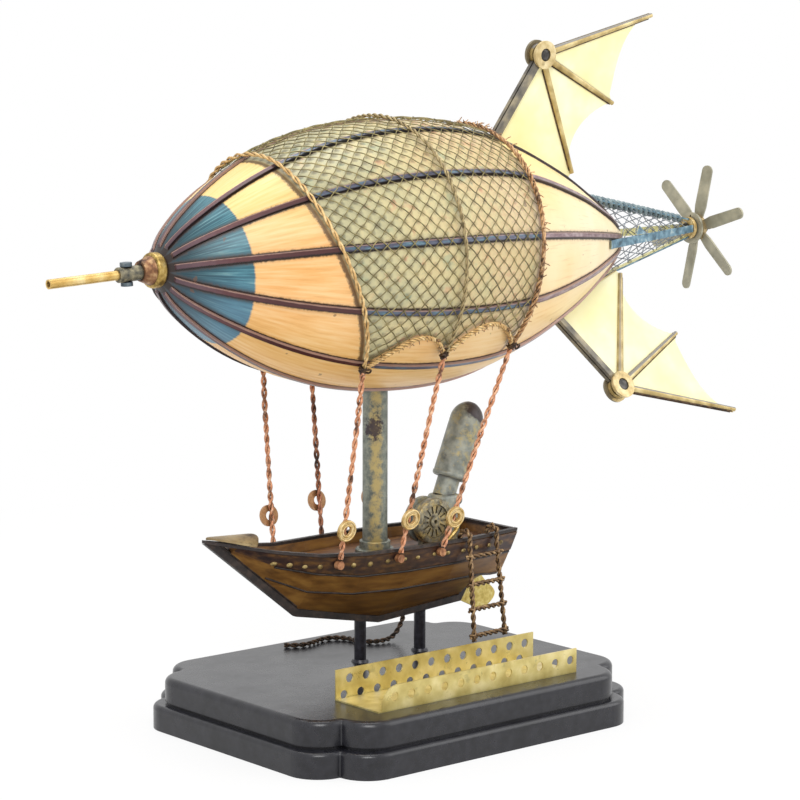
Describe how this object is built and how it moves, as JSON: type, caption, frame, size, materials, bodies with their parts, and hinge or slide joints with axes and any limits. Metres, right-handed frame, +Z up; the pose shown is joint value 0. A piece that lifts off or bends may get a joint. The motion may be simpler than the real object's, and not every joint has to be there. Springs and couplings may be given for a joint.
{
  "type": "airship model",
  "caption": "Ornamental airship: ribbed envelope on a mast over a small boat, with bat wings, tail propeller, rope rigging and a stepped plinth.",
  "frame": {"origin": "middle of the plinth's flat underside", "axes": "+X from the nose to the tail, +Z up, -Y towards the side with the ladder and the perforated channel"},
  "size_m": [0.2889, 0.1169, 0.2336],
  "materials": {
    "arm_grey": "grey-brown strip",
    "band_dark": "dark painted strip",
    "boom_blue": "blue-grey painted strip",
    "boom_wire": "antiqued wire mesh",
    "channel_brass": "brass-coloured perforated strip",
    "dark_iron": "near-black painted iron",
    "deck_brown": "dark brown painted sheet",
    "engine_brass": "antiqued brass",
    "engine_green": "grey-green antiqued metal",
    "envelope_cream": "warm cream paint over sheet metal",
    "hull_brown": "brown antiqued sheet metal",
    "ladder_brown": "dark antiqued wire",
    "mast_grey": "grey-green antiqued tube",
    "net_tan": "antiqued wire mesh",
    "nose_brown": "brown painted turned piece",
    "plinth_black": "glossy black painted plinth",
    "propeller_grey": "antiqued grey sheet",
    "rib_brown": "dark brown painted strip",
    "ring_gold": "gold-coloured stamped washer",
    "rope_copper": "copper-coloured twisted wire",
    "rope_dark": "dark two-strand cord",
    "rope_tan": "antiqued twisted wire",
    "rudder_brass": "brass sheet",
    "steel_dark": "dark steel fastener",
    "wing_cream": "pale yellow painted sheet",
    "wing_frame": "antiqued gold strip"
  },
  "bodies": {
    "airship": {"anchor_eyelet": "rope_copper", "anchor_rope": "rope_dark", "boarding_ladder": "ladder_brown", "boom_mesh": "boom_wire", "boom_plate": "ring_gold", "boom_strips": "boom_blue", "deck": "deck_brown", "engine_block": "engine_green", "engine_cylinder": "engine_brass", "engine_flywheel": "engine_brass", "engine_pipe": "engine_brass", "envelope_ribs": "rib_brown", "envelope_shell": "envelope_cream", "far_front_rope": "rope_copper", "far_middle_rope": "rope_copper", "far_rear_rope": "rope_copper", "foredeck": "ladder_brown", "front_post": "dark_iron", "gunwale_rim": "dark_iron", "hull_shell": "hull_brown", "keel_and_stem": "dark_iron", "lower_wing_arms": "arm_grey", "lower_wing_fingers": "wing_frame", "lower_wing_screw": "steel_dark", "lower_wing_skin": "wing_cream", "lower_wing_washers": "ring_gold", "mast_flange": "engine_brass", "mast_tube": "mast_grey", "near_front_rope": "rope_copper", "near_middle_rope": "rope_copper", "near_rear_rope": "rope_copper", "net_mesh": "net_tan", "net_ropes": "rope_tan", "net_swags": "rope_tan", "nose_cone": "nose_brown", "nose_pin": "steel_dark", "nose_ring": "engine_brass", "nose_socket": "engine_brass", "nose_spear": "rope_copper", "perforated_channel": "channel_brass", "plinth": "plinth_black", "rear_post": "dark_iron", "rope_eyelets": "rope_copper", "rope_rings": "ring_gold", "rudder": "rudder_brass", "stud_band": "band_dark", "tail_nut": "steel_dark", "tail_pin": "steel_dark", "upper_wing_arms": "arm_grey", "upper_wing_fingers": "wing_frame", "upper_wing_screw": "steel_dark", "upper_wing_skin": "wing_cream", "upper_wing_washers": "ring_gold"},
    "propeller": {"propeller": "propeller_grey"}
  },
  "joints": [
    {"name": "propeller_spin", "type": "hinge", "parent": "airship", "child": "propeller", "pos_m": [0.157, 0.0131, 0.1559], "axis": [1, 0, 0], "continuous": true}
  ]
}
